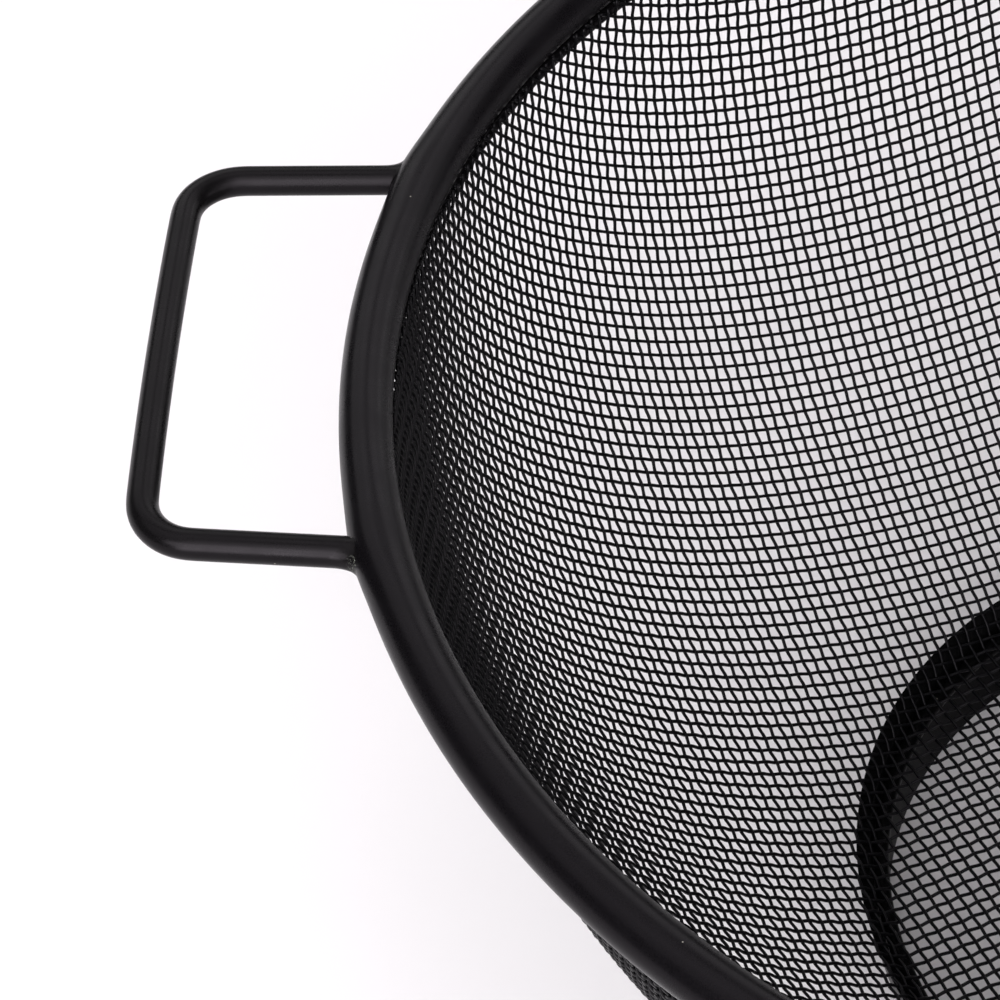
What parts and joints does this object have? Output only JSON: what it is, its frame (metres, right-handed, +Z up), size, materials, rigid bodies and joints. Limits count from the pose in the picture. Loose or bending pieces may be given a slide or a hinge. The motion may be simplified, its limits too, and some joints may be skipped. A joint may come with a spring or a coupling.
{
  "type": "wire mesh fire bowl",
  "caption": "Round bowl pressed from black woven wire mesh, with a thick round rim, bent-rod handles welded to the rim and a tapered foot ring under a flat mesh floor.",
  "frame": {"origin": "centre of the foot ring, on the ground", "axes": "+Z up, the handles lie along X, -Y is the front"},
  "size_m": [0.4782, 0.4004, 0.1818],
  "materials": {
    "frame_coat": "satin black heat-proof paint on steel bar and strip",
    "rod_coat": "satin black heat-proof paint on drawn steel rod, a little glossier than the rim",
    "cloth_coat": "semi-gloss black paint on plain-woven steel wire cloth",
    "weld_coat": "black paint over a rough weld bead"
  },
  "bodies": {
    "root": {"rim_ring": "frame_coat", "hem_wire": "frame_coat", "mesh_bowl": "cloth_coat", "foot_hoop": "frame_coat", "foot_ring": "frame_coat", "left_handle": "rod_coat", "right_handle": "rod_coat", "left_front_weld": "weld_coat", "left_rear_weld": "weld_coat", "right_front_weld": "weld_coat", "right_rear_weld": "weld_coat"}
  },
  "joints": []
}
